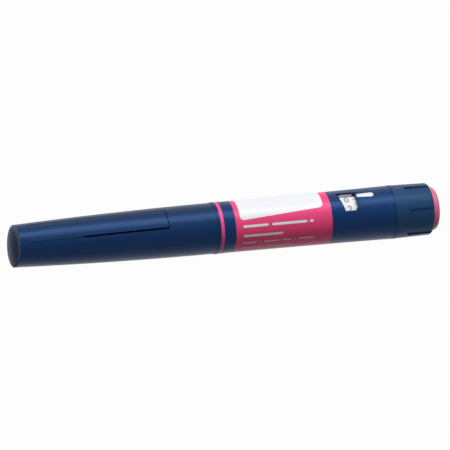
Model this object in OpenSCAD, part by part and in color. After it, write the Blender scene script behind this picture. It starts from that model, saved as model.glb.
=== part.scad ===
// Insulin pen with a spring-driven dosing mechanism, cap on.
// The axis lies along X: the needle end points to -X and the dose button to +X.
// Clip and dose window face +Z. Lengths are in millimetres.

/* [Cap] */
// Room for a fitted needle, from the cartridge holder's tip to the cap's closed end
needle_room = 8.7; // [8:0.1:12]
// Outer radius of the cap at its mouth
cap_mouth_r = 8.54; // [8.4:0.02:8.8]
// Outer radius of the cap at its closed end
cap_end_r = 7.07; // [6.8:0.01:7.4]
// Height of the dome on the closed end
cap_dome_h = 1.1; // [0.8:0.1:1.6]
// Tilt of the domed end towards the clip side, in degrees
cap_end_tilt = 5; // [0:0.5:7]
// Radius of the edge round the closed end
cap_edge_r = 0.8; // [0.4:0.1:1.1]
// Thickness of the closed end
cap_end_wall = 1.6; // [1.2:0.1:2.4]
// Radial clearance between the cap and the cartridge holder
cap_gap = 0.25; // [0.15:0.01:0.3]
// Inner radius of the cap round the needle
cap_nose_r = 5.95; // [5.8:0.01:6.1]

/* [Clip] */
// Width of the clip
clip_w = 6.7; // [5:0.1:7.4]
// Length of the clip that is free of the cap
clip_free_len = 29; // [22:0.5:34]
// Distance from the clip's free end to the cap's mouth
clip_setback = 17.6; // [14:0.2:22]
// Width of the slot that frees the clip
clip_slot_w = 0.55; // [0.3:0.05:0.8]
// Thickness of the clip
clip_t = 0.8; // [0.6:0.05:0.9]

/* [Collar ring] */
// Width of the coloured ring
ring_w = 1.8; // [1.2:0.1:2.6]
// Outer radius of the coloured ring
ring_r = 8.65; // [8.6:0.01:8.8]

/* [Rest flats] */
// Depth of the flats under the ring and the dose selector's lip, which stop the pen rolling
rest_flat_depth = 0.1; // [0.05:0.01:0.15]
// Depth of the flats that keep the cap and the housing clear of what the pen lies on
clear_flat_depth = 0.15; // [0.1:0.01:0.2]

/* [Housing] */
// Length of the housing behind the ring
housing_len = 59.25; // [58.8:0.05:60]
// Outer radius of the housing at the ring
housing_front_r = 8.58; // [8.5:0.01:8.65]
// Outer radius of the housing at the dose selector
housing_rear_r = 8.95; // [8.9:0.01:9.2]
// Bore of the housing round the mechanism
housing_bore_r = 7.5; // [7.45:0.01:7.6]
// Bore of the housing round the cartridge holder
holder_bore_r = 7.0; // [6.95:0.01:7.1]

/* [Label] */
// Distance from the ring to the label
label_setback = 3.75; // [2:0.25:5]
// Length of the label along the pen
label_len = 33.4; // [28:0.2:34]
// Thickness of the label
label_t = 0.12; // [0.08:0.01:0.2]

/* [Dose window] */
// Distance from the ring to the window's far edge
window_end = 46.55; // [45.5:0.05:46.6]
// Length of the window along the pen, at its short side
window_len = 4.4; // [4:0.1:4.8]
// Width of the window across the pen
window_w = 6.8; // [5.6:0.1:7.2]
// Slant of the window's near edge along the pen
window_slant = 1.6; // [0.6:0.1:2]
// Radius of the window's corners
window_corner_r = 1.1; // [0.5:0.1:1.4]
// Width of the step round the window
window_rim = 0.45; // [0.3:0.05:0.6]
// Depth of the step round the window
window_rim_depth = 0.3; // [0.15:0.05:0.4]

/* [Dose pointer] */
// Length of the pointer
pointer_len = 5.8; // [4.5:0.1:6.5]
// Width of the pointer at the window
pointer_near_w = 1.3; // [1:0.1:1.5]
// Width of the pointer at its round end
pointer_far_w = 1.9; // [1.6:0.1:2.2]
// Depth of the pointer in the housing
pointer_t = 0.3; // [0.2:0.05:0.4]
// Distance of the pointer's middle from the window's middle, across the pen
pointer_offset = 1.9; // [1.6:0.1:2.1]

/* [Dose selector] */
// Length of the dose selector
dial_len = 13.65; // [13:0.05:14.4]
// Outer radius of the dose selector's lip
dial_lip_r = 9.0; // [8.9:0.01:9.3]
// Width of the lip
dial_lip_w = 0.9; // [0.5:0.1:1.4]
// Outer radius of the dose selector behind the lip
dial_front_r = 8.93; // [8.85:0.01:9.1]
// Outer radius of the dose selector at the button
dial_rear_r = 8.7; // [8.5:0.01:8.8]
// Radius of the dose selector's rear edge
dial_edge_r = 0.8; // [0.4:0.1:1]
// Number of finger grooves
groove_count = 6; // [4:1:8]
// Length of each finger groove
groove_len = 9; // [6:0.5:10]
// Width of each finger groove
groove_w = 1.7; // [1:0.1:2.2]
// Depth of each finger groove
groove_depth = 0.4; // [0.2:0.05:0.6]

/* [Dose button] */
// Outer radius of the button
button_r = 7.35; // [7.2:0.01:7.45]
// Height of the button above the dose selector
button_out = 3.2; // [2.8:0.1:3.6]
// Radius of the button's edge
button_edge_r = 1.9; // [1.4:0.1:2.2]
// Height of the button's crown above its edge
button_crown_h = 0.7; // [0.3:0.1:1]
// Length of the button inside the dose selector
button_skirt_len = 4.6; // [4:0.1:5.5]
// Travel of the button
button_travel = 1.8; // [1.4:0.1:2]

/* [Cartridge] */
// Outer radius of the glass
glass_r = 5.8; // [5.7:0.01:5.85]
// Wall of the glass
glass_t = 1.0; // [0.8:0.05:1.1]
// Length of the cartridge
cartridge_len = 64; // [63:0.5:64.5]
// Outer radius of the crimped cap
crimp_r = 3.85; // [3.7:0.01:3.9]
// Length of the crimped cap
crimp_len = 4; // [3.6:0.1:4.4]
// Length of the glass neck behind the crimped cap
neck_len = 2; // [1.6:0.1:2.4]
// Length of the glass shoulder
shoulder_len = 3.5; // [3:0.1:4]
// Length of the rubber piston
piston_len = 9; // [8:0.5:10]
// Travel of the piston
piston_travel = 40.6; // [38:0.1:40.6]

/* [Cartridge holder] */
// Outer radius of the cartridge holder
holder_r = 6.8; // [6.75:0.01:6.85]
// Outer radius of the needle thread
needle_thread_r = 4.65; // [4.6:0.01:4.7]
// Length of the needle thread
needle_thread_len = 6.5; // [5.5:0.1:6.8]

/* [Mechanism] */
// Radius of the piston rod
rod_r = 2.2; // [2.1:0.01:2.25]
// Length of the piston rod that stays behind the drive element at the end of the travel
rod_reserve = 2.5; // [2:0.1:2.8]
// Outer radius of the reset tube
reset_r = 3.9; // [3.85:0.01:4]
// Outer radius of the ratchet tube
ratchet_r = 6.5; // [6.4:0.01:6.52]
// Outer radius of the scale drum
drum_r = 7.3; // [7.25:0.01:7.35]
// Length of the scale drum
drum_len = 32; // [31.8:0.1:32.4]
// Travel of the scale drum for each turn
drum_lead = 5.8; // [5.6:0.05:5.8]
// Turn of the dose selector at the largest dose, in degrees
dose_turn = 750; // [600:15:750]
// Radius of the torsion spring's wire
torsion_wire_r = 0.4; // [0.3:0.02:0.42]
// Turns of the torsion spring
torsion_turns = 24; // [16:1:24]
// Radius of the return spring's wire
return_wire_r = 0.3; // [0.2:0.02:0.34]
// Turns of the return spring
return_turns = 6; // [4:1:7]

/* [Hidden] */
$fn = 96;

// Clearances and overruns
parting_gap = 0.15;
run_gap = 0.05;
slide_gap = 0.06;
seat_gap = 0.02;
cut_over = 1;
hair = 0.01;

// Holder: its part in front of the housing holds the cartridge inside the cap
front_bore_len = 9.6;
cart_setback = 3.55;
tip_wall = 0.6;
holder_out_len = tip_wall + cartridge_len + cart_setback - front_bore_len - parting_gap;

// Places along the axis, from the closed end of the cap to the button
cap_len = cap_dome_h + cap_end_wall + needle_room + holder_out_len;
pen_len = cap_len + parting_gap + ring_w + housing_len + parting_gap + dial_len + button_out;
cap_x0 = -pen_len / 2;
cap_x1 = cap_x0 + cap_len;
neck_x0 = cap_x1 + parting_gap;
house_x0 = neck_x0 + ring_w;
house_x1 = house_x0 + housing_len;
dial_x0 = house_x1 + parting_gap;
dial_x1 = dial_x0 + dial_len;
axis_h = max(dial_lip_r, housing_rear_r) - rest_flat_depth;

// Cap
cap_rim_x = cap_x0 + cap_dome_h;
cap_side_steps = 8;
cap_edge_steps = 5;
cap_bore_r = holder_r + cap_gap;
cap_dome_r = (pow(cap_end_r, 2) + pow(cap_dome_h, 2)) / (2 * cap_dome_h);
cap_inner_x0 = cap_rim_x + cap_end_wall;
cap_mouth_depth = 1.3;
cap_mouth_bore_r = 7.62;
snap_groove_w = 1.2;
snap_groove_depth = 0.15;
snap_setback = 6;
clip_end_x = cap_x1 - clip_setback;
clip_root_x = clip_end_x - clip_free_len;
clip_line_len = 18;
clip_line_depth = 0.18;
clip_line_w = 0.25;

// Collar ring, the housing and its front neck
housing_side_steps = 8;
neck_r = 7.8;
holder_stop_x = neck_x0 + front_bore_len;

// Label
label_x0 = house_x0 + label_setback;
label_x1 = label_x0 + label_len;

// Dose window
window_x1 = house_x0 + window_end;
window_x0 = window_x1 - window_len;
pointer_x0 = window_x1 + window_rim;

// Needle end and cartridge, from the front
cart_x1 = holder_stop_x - cart_setback;
cart_x0 = cart_x1 - cartridge_len;
holder_tip_x = cart_x0 - tip_wall;
thread_x1 = holder_tip_x + needle_thread_len;
crimp_t = 0.25;
crimp_hole_r = 1.4;
septum_t = 1.5;
glass_lip_x0 = cart_x0 + crimp_t + septum_t;
crimp_x1 = cart_x0 + crimp_len;
neck_x1 = crimp_x1 + neck_len;
shoulder_x1 = neck_x1 + shoulder_len;
neck_r_out = 3;
neck_r_in = 1.6;
glass_r_in = glass_r - glass_t;
shoulder_setback = 1;

// Holder
holder_r_in = glass_r + run_gap;
holder_root_r = holder_bore_r - run_gap;
holder_flange_r = 7.5;
holder_flange_w = 1;
holder_x1 = holder_stop_x - parting_gap;
holder_cone_len = 2.6;
holder_cone_r = 5.7;
holder_cone_x1 = thread_x1 + holder_cone_len;
snap_w = 0.8;
snap_h = 0.16;
latch_w = 1.2;
latch_h = 0.2;
latch_setback = 5;
tip_hole_r = 2.8;

// Piston, washer and rod
piston_gap = 0.02;
piston_r = glass_r_in - piston_gap;
piston_setback = 2.6;
piston_x1 = cart_x1 - piston_setback;
piston_x0 = piston_x1 - piston_len;
piston_rib_h = 0.35;
piston_nose_h = 1;
piston_ribs = 3;
washer_t = 1.5;
washer_r = 4.3;
washer_x1 = piston_x1 + washer_t;
rod_x0 = washer_x1;
rod_groove_w = 0.9;
rod_groove_depth = 0.5;
rod_tip_r = 1.4;
rod_tip_len = 1;

// Nut element, drive element and clutch
nut_t = 3.4;
nut_x0 = holder_stop_x;
nut_x1 = nut_x0 + nut_t;
nut_hub_r = 4;
nut_hub_len = 1;
nut_holes = 6;
nut_hole_r = 0.9;
nut_hole_ring_r = 5.4;
drive_x0 = nut_x1 + nut_hub_len + parting_gap;
drive_len = 2.7;
drive_x1 = drive_x0 + drive_len;
rod_x1 = drive_x1 + piston_travel + rod_reserve;
drive_r = 6.3;
dog_count = 12;
dog_w = 0.7;
dog_len = 1.4;
dog_h = 0.4;
dog_clearance = 0.1;
clutch_x0 = drive_x1 + button_travel + 2 * dog_h + dog_clearance;
clutch_len = 3.6;
clutch_x1 = clutch_x0 + clutch_len;
clutch_r = 5.8;
clutch_r_in = rod_r + 2 * run_gap;
clutch_splines = 12;
spline_w = 0.8;
spline_h = 0.35;

// Ratchet tube
ratchet_t = 0.55;
ratchet_r_in = ratchet_r - ratchet_t;
ratchet_x0 = clutch_x1 + button_travel;
ratchet_end_gap = 0.6;
ratchet_x1 = house_x1 - ratchet_end_gap;
ratchet_flange_t = 1.4;
drum_key_w = 1;
drum_key_h = 0.22;

// Reset tube and the end-of-content nut
reset_r_in = 3.05;
reset_x0 = clutch_x1;
content_nut_len = 4;
content_nut_setback = 6.9;
content_nut_x0 = reset_x0 + content_nut_setback;
nut_key_w = 0.8;
nut_key_h = 0.3;

// Scale drum
drum_x1 = ratchet_x1;
drum_x0 = drum_x1 - drum_len;
drum_r_in = ratchet_r + slide_gap;
drum_groove_depth = 0.22;
drum_groove_w = 1;
drum_groove_run_in = 24;
drum_groove_step = 10;
guide_x = drum_x0 + drum_groove_w;
guide_w = 0.55;
guide_arc = 20;
guide_gap = 0.08;

// Spring base and dose selector
base_spigot_len = 0.4;
base_flange_r = 7.9;
base_flange_t = 1.3;
base_hub_r = 5.2;
base_bore_r = reset_r + 6 * run_gap;
base_x0 = house_x1 - base_spigot_len;
base_flange_x1 = house_x1 + base_flange_t;
dial_web_t = 1.6;
dial_web_x0 = base_flange_x1 + parting_gap;
dial_web_x1 = dial_web_x0 + dial_web_t;
dial_skirt_r = base_flange_r + 2 * run_gap;
dial_bore_r = button_r + 2 * run_gap;
base_hub_x1 = dial_web_x1 + 1.4 * dial_web_t;
base_lip_h = 0.3;
base_lip_w = 0.8;
groove_turn = 38;
dial_edge_steps = 5;

// Dose button
button_wall = 0.9;
button_x0 = dial_x1 - button_skirt_len;
button_x1 = dial_x1 + button_out;
button_ceiling_t = 1.6;
button_ceiling_x = button_x1 - button_crown_h - button_ceiling_t;
button_stem_r = 5;
button_stem_x0 = button_x0 + button_wall;
button_arc_steps = 6;
reset_x1 = button_ceiling_x;

// Springs
torsion_mean_r = 5.15;
torsion_x0 = ratchet_x0 + ratchet_flange_t;
torsion_x1 = base_x0;
return_mean_r = button_r - button_wall - run_gap - return_wire_r;
return_x0 = dial_web_x1;
return_x1 = button_ceiling_x;
torsion_rings = 8;
return_rings = 10;
spring_sides = 6;

// Radius of the cap's outside at x: an arc that is level at the mouth
function cap_outer_r(x) =
    cap_mouth_r - (cap_mouth_r - cap_end_r) * pow((cap_x1 - x) / (cap_x1 - cap_rim_x), 2);

// Radius of the housing's outside at x: it flares towards the dose selector
function housing_outer_r(x) =
    housing_front_r + (housing_rear_r - housing_front_r) * pow((x - house_x0) / housing_len, 2);

// Points of an arc in a profile, from angle a0 to a1, as [radius, x]
function arc(centre_r, centre_x, radius, a0, a1, steps) =
    [for (i = [0:steps]) let (a = a0 + (a1 - a0) * i / steps)
        [centre_r + radius * cos(a), centre_x + radius * sin(a)]];

// Points along the outside of the cap between x0 and x1, and of the housing at a depth
function cap_side(x0, x1) =
    [for (i = [0:cap_side_steps]) let (x = x0 + (x1 - x0) * i / cap_side_steps)
        [cap_outer_r(x), x]];
function housing_side(drop) =
    [for (i = [0:housing_side_steps]) let (x = house_x0 + housing_len * i / housing_side_steps)
        [housing_outer_r(x) - drop, x]];

// Lays a shape that stands along Z on the pen's axis, its X side up
module lay() {
    translate([0, 0, axis_h]) rotate([0, 90, 0]) rotate([0, 0, 180]) children();
}

// Solid of revolution about the pen's axis, from [radius, x] points in order of x
module turned(points) {
    lay()
        rotate_extrude()
            polygon(concat([[0, points[0][1]]], points, [[0, points[len(points) - 1][1]]]));
}

// Plain cylinder and tube on the pen's axis
module rod(r, x0, x1) {
    lay() translate([0, 0, x0]) cylinder(r = r, h = x1 - x0);
}

module tube(r_out, r_in, x0, x1) {
    difference() {
        rod(r_out, x0, x1);
        rod(r_in, x0 - cut_over, x1 + cut_over);
    }
}

// Bar along the pen, w wide, between two radii, turned by angle about the axis
module bar(w, r0, r1, x0, x1, angle) {
    lay() rotate([0, 0, angle])
        translate([r0, -w / 2, x0]) cube([r1 - r0, w, x1 - x0]);
}

// Copies of a shape about the pen's axis
module around(count, turn = 0) {
    for (i = [0:count - 1])
        translate([0, 0, axis_h]) rotate([turn + i * 360 / count, 0, 0]) translate([0, 0, -axis_h])
            children();
}

// Coil of round wire about the pen's axis, one unbroken tube
module coil(mean_r, wire_r, x0, x1, turns, turn_rings) {
    rings = turns * turn_rings;
    lead = (x1 - x0 - 2 * wire_r) / turns;
    points = [
        for (i = [0:rings], j = [0:spring_sides - 1])
            let (a = 360 * i / turn_rings, b = 360 * j / spring_sides)
            [(mean_r + wire_r * cos(b)) * cos(a), (mean_r + wire_r * cos(b)) * sin(a),
             x0 + wire_r + lead * i / turn_rings + wire_r * sin(b)]
    ];
    sides = [
        for (i = [0:rings - 1], j = [0:spring_sides - 1])
            let (k = (j + 1) % spring_sides, p = i * spring_sides, q = p + spring_sides)
            each [[p + j, q + k, q + j], [p + j, p + k, q + k]]
    ];
    ends = [
        [for (j = [spring_sides - 1:-1:0]) j],
        [for (j = [0:spring_sides - 1]) rings * spring_sides + j]
    ];
    echo(str("least gap between the turns of the spring: ", lead - 2 * wire_r));
    lay() polyhedron(points, concat(sides, ends));
}

// Helical cut round the drum, right-handed: it moves to +X as it turns
module helical_cut(x, w, r0, r1, a0, a1) {
    rings = ceil((a1 - a0) / drum_groove_step);
    corners = [[r0, -w / 2], [r1, -w / 2], [r1, w / 2], [r0, w / 2]];
    sides_of = len(corners);
    points = [
        for (i = [0:rings], c = corners)
            let (a = a0 + (a1 - a0) * i / rings)
            [c[0] * cos(a), c[0] * sin(a), x + drum_lead * a / 360 + c[1]]
    ];
    sides = [
        for (i = [0:rings - 1], j = [0:sides_of - 1])
            let (k = (j + 1) % sides_of, p = i * sides_of, q = p + sides_of)
            each [[p + j, q + k, q + j], [p + j, p + k, q + k]]
    ];
    ends = [
        [for (j = [sides_of - 1:-1:0]) j],
        [for (j = [0:sides_of - 1]) rings * sides_of + j]
    ];
    lay() rotate([0, 0, 180]) polyhedron(points, concat(sides, ends));
}

// Outline of the dose window seen from above, grown by a margin
module window_outline(margin) {
    x0 = window_x0 - margin;
    x1 = window_x1 + margin;
    y = window_w / 2 + margin;
    r = window_corner_r + margin;
    difference() {
        polygon([[x0, -y], [x1, -y], [x1, y], [x0 - window_slant, y]]);
        translate([x1 - r, -y - cut_over]) difference() {
            square([r + cut_over, r + cut_over]);
            translate([0, r + cut_over]) circle(r = r);
        }
    }
}

// Outline of the dose pointer seen from above, its round end away from the window
module pointer_outline(margin) {
    far_r = pointer_far_w / 2;
    near = pointer_near_w / 2 + margin;
    far = far_r + margin;
    end_x = pointer_x0 + pointer_len - far_r;
    translate([0, pointer_offset]) union() {
        polygon([[pointer_x0 - margin, -near], [end_x, -far], [end_x, far], [pointer_x0 - margin, near]]);
        translate([end_x, 0]) circle(r = far);
    }
}

// Prism that stands on the axis plane over an outline in X and Y
module prism_up() {
    translate([0, 0, axis_h]) linear_extrude(height = 2 * housing_rear_r) children();
}

// All that lies outside the housing's surface sunk by a depth, between x0 and x1
module housing_skin(x0, x1, depth) {
    difference() {
        rod(2 * housing_rear_r, x0, x1);
        turned(housing_side(depth));
    }
}

// All that lies under a flat, between x0 and x1, at a distance r below the axis
module under_flat(r, x0, x1) {
    translate([x0, -2 * housing_rear_r, axis_h - 2 * housing_rear_r])
        cube([x1 - x0, 4 * housing_rear_r, 2 * housing_rear_r - r]);
}

module cap_outside() {
    intersection() {
        turned(concat(
            arc(cap_end_r - cap_edge_r, cap_x0 + cap_edge_r, cap_edge_r, -90, 0, cap_edge_steps),
            cap_side(cap_rim_x, cap_x1)
        ));
        union() {
            translate([cap_x0, 0, axis_h]) rotate([0, cap_end_tilt, 0])
                translate([cap_dome_r, 0, 0]) sphere(r = cap_dome_r);
            translate([cap_inner_x0, -2 * cap_mouth_r, axis_h - 2 * cap_mouth_r])
                cube([cap_len, 4 * cap_mouth_r, 4 * cap_mouth_r]);
        }
    }
}

// Room that frees the clip: a slot along each side and round the end, and a thinner wall
module clip_slots() {
    outer = clip_w / 2 + clip_slot_w;
    translate([0, 0, axis_h]) {
        for (side = [-1, 1])
            translate([clip_root_x, side * (clip_w + clip_slot_w) / 2 - clip_slot_w / 2, 0])
                cube([clip_free_len + clip_slot_w, clip_slot_w, 2 * cap_mouth_r]);
        translate([clip_end_x, -outer, 0])
            cube([clip_slot_w, 2 * outer, 2 * cap_mouth_r]);
    }
    intersection() {
        rod(cap_outer_r(clip_root_x) - clip_t, clip_root_x, clip_end_x);
        translate([clip_root_x, -outer, axis_h])
            cube([clip_free_len, 2 * outer, 2 * cap_mouth_r]);
    }
}

// Engraved line that carries each side of the clip on towards the closed end
module clip_lines() {
    for (side = [-1, 1])
        translate([clip_root_x - clip_line_len, side * (clip_w + clip_slot_w) / 2 - clip_line_w / 2, axis_h])
            cube([clip_line_len + hair, clip_line_w, 2 * cap_mouth_r]);
}

module cap() {
    color("midnightblue") difference() {
        cap_outside();
        turned([
            [cap_nose_r, cap_inner_x0],
            [cap_nose_r, thread_x1],
            [cap_bore_r, thread_x1 + holder_cone_len],
            [cap_bore_r, cap_x1 + cut_over]
        ]);
        rod(cap_mouth_bore_r, cap_x1 - cap_mouth_depth, cap_x1 + cut_over);
        tube(cap_bore_r + snap_groove_depth, cap_bore_r - snap_groove_depth,
            cap_x1 - snap_setback - snap_groove_w, cap_x1 - snap_setback);
        under_flat(ring_r - rest_flat_depth - clear_flat_depth, clip_root_x, cap_x1 + cut_over);
        clip_slots();
        intersection() {
            clip_lines();
            difference() {
                rod(2 * cap_mouth_r, cap_x0, cap_x1);
                turned([for (p = cap_side(cap_rim_x, cap_x1)) [p[0] - clip_line_depth, p[1]]]);
            }
        }
    }
}

module collar_ring() {
    color("hotpink") difference() {
        tube(ring_r, neck_r + seat_gap, neck_x0, house_x0);
        under_flat(ring_r - rest_flat_depth, neck_x0 - cut_over, house_x0 + cut_over);
    }
}

module housing() {
    color("midnightblue") {
        difference() {
            union() {
                turned(housing_side(0));
                rod(neck_r, neck_x0, house_x0 + ring_w);
            }
            rod(holder_bore_r, neck_x0 - cut_over, holder_stop_x + hair);
            rod(housing_bore_r, holder_stop_x, house_x1 + cut_over);
            tube(holder_bore_r + latch_h, holder_bore_r - latch_h,
                holder_x1 - latch_setback - latch_w, holder_x1 - latch_setback + seat_gap);
            housing_skin(label_x0, label_x1, label_t);
            under_flat(ring_r - rest_flat_depth - clear_flat_depth, house_x0, label_x0);
            under_flat(housing_rear_r - clear_flat_depth - rest_flat_depth / 2, label_x1, house_x1 + cut_over);
            prism_up() window_outline(0);
            intersection() {
                prism_up() window_outline(window_rim);
                housing_skin(window_x0 - 2 * window_slant, window_x1 + window_slant, window_rim_depth);
            }
            intersection() {
                prism_up() pointer_outline(0);
                housing_skin(window_x1, house_x1 - parting_gap, pointer_t);
            }
        }
        drum_guide();
    }
}

// Rib on the housing's bore that runs in the drum's helical groove
module drum_guide() {
    lay() rotate([0, 0, 180 - guide_arc / 2]) translate([0, 0, guide_x - guide_w / 2])
        rotate_extrude(angle = guide_arc)
            translate([drum_r - drum_groove_depth + guide_gap, 0])
                square([housing_bore_r - drum_r + drum_groove_depth - guide_gap + hair, guide_w]);
}

module label() {
    color("deeppink") intersection() {
        turned(housing_side(0));
        housing_skin(label_x0, label_x1, label_t);
    }
}

module dose_pointer() {
    color("white") intersection() {
        turned(housing_side(0));
        prism_up() pointer_outline(0);
        housing_skin(window_x1, house_x1 - parting_gap, pointer_t);
    }
}

module cartridge_holder() {
    color("lightcyan", 0.5) difference() {
        union() {
            turned([
                [needle_thread_r, holder_tip_x],
                [needle_thread_r, thread_x1],
                [holder_cone_r, thread_x1],
                [holder_r, holder_cone_x1],
                [holder_r, neck_x0 - holder_flange_w]
            ]);
            rod(holder_flange_r, neck_x0 - holder_flange_w, neck_x0);
            rod(holder_root_r, neck_x0 - holder_flange_w / 2, holder_x1);
            snap_x = cap_x1 - snap_setback - snap_groove_w / 2;
            turned([
                [holder_r, snap_x - snap_w / 2],
                [holder_r + snap_h, snap_x],
                [holder_r, snap_x + snap_w / 2]
            ]);
            latch_x1 = holder_x1 - latch_setback;
            turned([
                [holder_root_r + latch_h, latch_x1 - latch_w + seat_gap],
                [holder_root_r + latch_h, latch_x1 - latch_w / 2],
                [holder_root_r, latch_x1]
            ]);
        }
        turned([
            [crimp_r + run_gap, cart_x0],
            [crimp_r + run_gap, crimp_x1 + neck_len / 2],
            [holder_r_in, shoulder_x1 - seat_gap],
            [holder_r_in, holder_x1 + cut_over]
        ]);
        rod(tip_hole_r, holder_tip_x - cut_over, cart_x0 + hair);
    }
}

module cartridge_glass() {
    color("azure", 0.4) difference() {
        turned([
            [crimp_r - crimp_t - seat_gap, glass_lip_x0],
            [crimp_r - crimp_t - seat_gap, crimp_x1 - crimp_t - seat_gap],
            [neck_r_out, crimp_x1 - crimp_t - seat_gap],
            [neck_r_out, neck_x1],
            [glass_r, shoulder_x1],
            [glass_r, cart_x1]
        ]);
        turned([
            [neck_r_in, glass_lip_x0 - cut_over],
            [neck_r_in, neck_x1 + shoulder_setback],
            [glass_r_in, shoulder_x1 + shoulder_setback],
            [glass_r_in, cart_x1 + cut_over]
        ]);
    }
}

module crimp_cap() {
    color("silver") difference() {
        rod(crimp_r, cart_x0, crimp_x1);
        rod(crimp_hole_r, cart_x0 - cut_over, crimp_x1 + cut_over);
        rod(crimp_r - crimp_t, cart_x0 + crimp_t, crimp_x1 - crimp_t);
        rod(neck_r_out + seat_gap, cart_x0 + crimp_t, crimp_x1 + cut_over);
    }
}

module septum() {
    color("dimgray")
        rod(crimp_r - crimp_t - seat_gap, cart_x0 + crimp_t, glass_lip_x0);
}

module piston() {
    groove_w_each = piston_len / (2 * piston_ribs + 1);
    color("dimgray") difference() {
        turned([
            [piston_r - piston_nose_h, piston_x0],
            [piston_r, piston_x0 + piston_nose_h],
            [piston_r, piston_x1]
        ]);
        for (i = [1:piston_ribs])
            tube(glass_r, piston_r - piston_rib_h,
                piston_x0 + (2 * i - 0.5) * groove_w_each, piston_x0 + (2 * i + 0.5) * groove_w_each);
    }
}

module piston_washer() {
    color("white") difference() {
        rod(washer_r, piston_x1, washer_x1);
        rod(rod_tip_r + run_gap, washer_x1 - rod_tip_len - run_gap, washer_x1 + cut_over);
    }
}

module piston_rod() {
    color("lightgray") {
        difference() {
            rod(rod_r, rod_x0, rod_x1);
            for (angle = [0, 180])
                bar(rod_groove_w, rod_r - rod_groove_depth, 2 * rod_r, rod_x0 - cut_over,
                    rod_x1 + cut_over, angle);
        }
        rod(rod_tip_r, rod_x0 - rod_tip_len, rod_x0 + rod_tip_len);
    }
}

module nut_element() {
    color("gainsboro") difference() {
        union() {
            rod(housing_bore_r - seat_gap, nut_x0, nut_x1);
            rod(nut_hub_r, nut_x0, nut_x1 + nut_hub_len);
        }
        rod(rod_r + run_gap, nut_x0 - cut_over, nut_x1 + nut_hub_len + cut_over);
        around(nut_holes)
            translate([nut_x0 - cut_over, 0, axis_h + nut_hole_ring_r]) rotate([0, 90, 0])
                cylinder(r = nut_hole_r, h = nut_t + 2 * cut_over);
    }
}

// Square teeth on a face, standing from x0 to x1
module dogs(x0, x1) {
    for (i = [0:dog_count - 1])
        bar(dog_w, drive_r - dog_len - dog_h, drive_r - dog_h, x0, x1, i * 360 / dog_count);
}

module drive_element() {
    color("goldenrod") {
        difference() {
            rod(drive_r, drive_x0, drive_x1);
            rod(rod_r + run_gap, drive_x0 - cut_over, drive_x1 + cut_over);
        }
        for (angle = [0, 180])
            bar(rod_groove_w - 2 * slide_gap, rod_r - rod_groove_depth + slide_gap, rod_r + 2 * run_gap,
                drive_x0, drive_x1, angle);
        dogs(drive_x1 - dog_h, drive_x1 + dog_h);
    }
}

module clutch_ring() {
    color("seagreen") {
        tube(clutch_r, clutch_r_in, clutch_x0, clutch_x1);
        for (i = [0:clutch_splines - 1])
            bar(spline_w, clutch_r - spline_h, clutch_r + spline_h, clutch_x0, clutch_x1,
                i * 360 / clutch_splines);
        dogs_back = clutch_x0 - dog_h;
        intersection() {
            dogs(dogs_back, clutch_x0 + hair);
            rod(clutch_r, dogs_back, clutch_x1);
        }
    }
}

module ratchet_tube() {
    color("orange") {
        tube(ratchet_r, ratchet_r_in, ratchet_x0, ratchet_x1);
        tube(ratchet_r_in + hair, reset_r + 3 * run_gap, ratchet_x0, ratchet_x0 + ratchet_flange_t);
        for (angle = [0, 180])
            bar(drum_key_w, ratchet_r - drum_key_h, ratchet_r + drum_key_h, ratchet_x0, ratchet_x1, angle);
    }
}

module reset_tube() {
    color("mediumpurple") difference() {
        rod(reset_r, reset_x0, reset_x1);
        rod(reset_r_in, reset_x0 - cut_over, reset_x1 + cut_over);
        for (angle = [90, 270])
            bar(nut_key_w + 2 * slide_gap, reset_r_in - nut_key_h, reset_r_in + nut_key_h + slide_gap,
                reset_x0 - cut_over, reset_x1 + cut_over, angle);
    }
}

module content_nut() {
    color("crimson") {
        tube(reset_r_in - run_gap, rod_r + run_gap, content_nut_x0, content_nut_x0 + content_nut_len);
        for (angle = [90, 270])
            bar(nut_key_w, reset_r_in - nut_key_h, reset_r_in + nut_key_h,
                content_nut_x0, content_nut_x0 + content_nut_len, angle);
    }
}

module torsion_spring() {
    color("slategray") coil(torsion_mean_r, torsion_wire_r, torsion_x0, torsion_x1, torsion_turns,
        torsion_rings);
}

module return_spring() {
    color("slategray") coil(return_mean_r, return_wire_r, return_x0, return_x1, return_turns,
        return_rings);
}

module spring_base() {
    color("khaki") difference() {
        union() {
            rod(housing_bore_r - seat_gap, base_x0, house_x1);
            rod(base_flange_r, house_x1, base_flange_x1);
            rod(base_hub_r, base_x0, base_hub_x1);
            turned([
                [base_hub_r + base_lip_h, dial_web_x1 + parting_gap],
                [base_hub_r, dial_web_x1 + parting_gap + base_lip_w]
            ]);
        }
        rod(base_bore_r, base_x0 - cut_over, base_hub_x1 + cut_over);
    }
}

module scale_drum() {
    color("white") difference() {
        tube(drum_r, drum_r_in, drum_x0, drum_x1);
        for (angle = [0, 180])
            bar(drum_key_w + 2 * slide_gap, drum_r_in - drum_key_h, ratchet_r + drum_key_h + slide_gap,
                drum_x0 - cut_over, drum_x1 + cut_over, angle);
        helical_cut(guide_x, drum_groove_w, drum_r - drum_groove_depth, housing_bore_r,
            -drum_groove_run_in, dose_turn + drum_groove_run_in);
    }
}

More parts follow.
